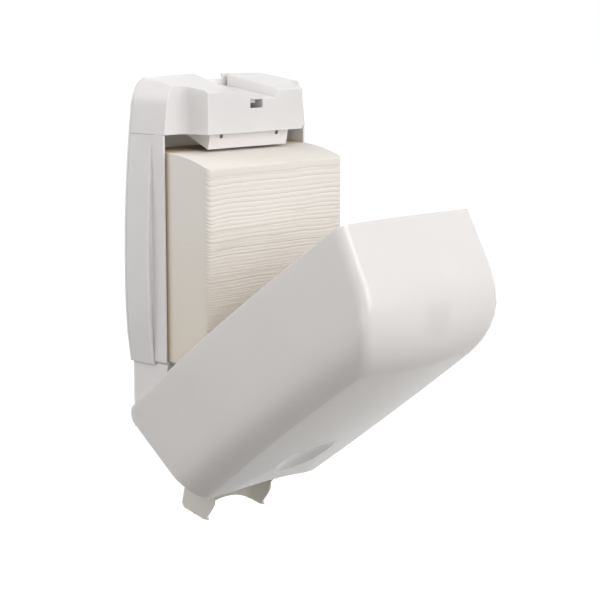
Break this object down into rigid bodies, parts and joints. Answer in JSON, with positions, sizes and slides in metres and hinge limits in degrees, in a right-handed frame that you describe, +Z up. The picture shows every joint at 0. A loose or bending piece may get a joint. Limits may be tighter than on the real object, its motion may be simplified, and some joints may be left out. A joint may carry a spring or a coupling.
{
  "type": "paper towel dispenser",
  "caption": "Wall-mounted dispenser for folded paper towels: a barrel-shaped white housing whose bulged front cover is swung open on a bottom hinge.",
  "frame": {"origin": "on the wall face of the back plate, on the middle line, 190 mm above the hinge axis", "axes": "+X to the viewer's right along the wall, -Y out of the wall toward the user, +Z up"},
  "size_m": [0.2486, 0.3566, 0.5129],
  "materials": {
    "white_plastic": "moulded white plastic with a soft sheen",
    "gloss_shell": "polished white plastic",
    "paper": "soft folded tissue paper",
    "steel": "plain zinc-plated steel"
  },
  "bodies": {
    "housing": {"back_plate": "white_plastic", "side_panel_left": "white_plastic", "side_panel_right": "white_plastic", "top_housing": "white_plastic", "housing_screw_1": "steel", "housing_screw_2": "steel", "housing_screw_3": "steel", "housing_screw_4": "steel", "housing_screw_5": "steel", "housing_screw_6": "steel", "housing_screw_7": "steel", "housing_screw_8": "steel", "towel_retainer": "white_plastic", "retainer_screw_1": "steel", "retainer_screw_2": "steel", "lever_pin": "steel", "detent_spring": "steel", "detent_screw_1": "steel", "towel_shelf": "white_plastic", "shelf_screw_1": "steel", "shelf_screw_2": "steel", "shelf_screw_3": "steel", "shelf_screw_4": "steel", "hinge_bracket_left": "white_plastic", "hinge_bracket_right": "white_plastic", "bracket_screw_1": "steel", "bracket_screw_2": "steel", "bracket_screw_3": "steel", "bracket_screw_4": "steel", "hinge_pin_left": "steel", "hinge_pin_right": "steel", "towel_stack": "paper", "top_towels": "paper"},
    "lock": {"lock_lever": "white_plastic"},
    "cover": {"front_cover": "gloss_shell", "cover_catch": "white_plastic", "outlet_chute": "white_plastic", "chute_screw_1": "steel", "chute_screw_2": "steel", "chute_screw_3": "steel", "chute_screw_4": "steel"}
  },
  "joints": [
    {"name": "cover_hinge", "type": "hinge", "parent": "housing", "child": "cover", "pos_m": [0, -0.0108, -0.19], "axis": [1, 0, 0], "range_deg": [-53.2, 0]},
    {"name": "lever_pivot", "type": "hinge", "parent": "housing", "child": "lock", "pos_m": [0, -0.045, 0.1605], "axis": [1, 0, 0], "range_deg": [0, 3.2]}
  ]
}
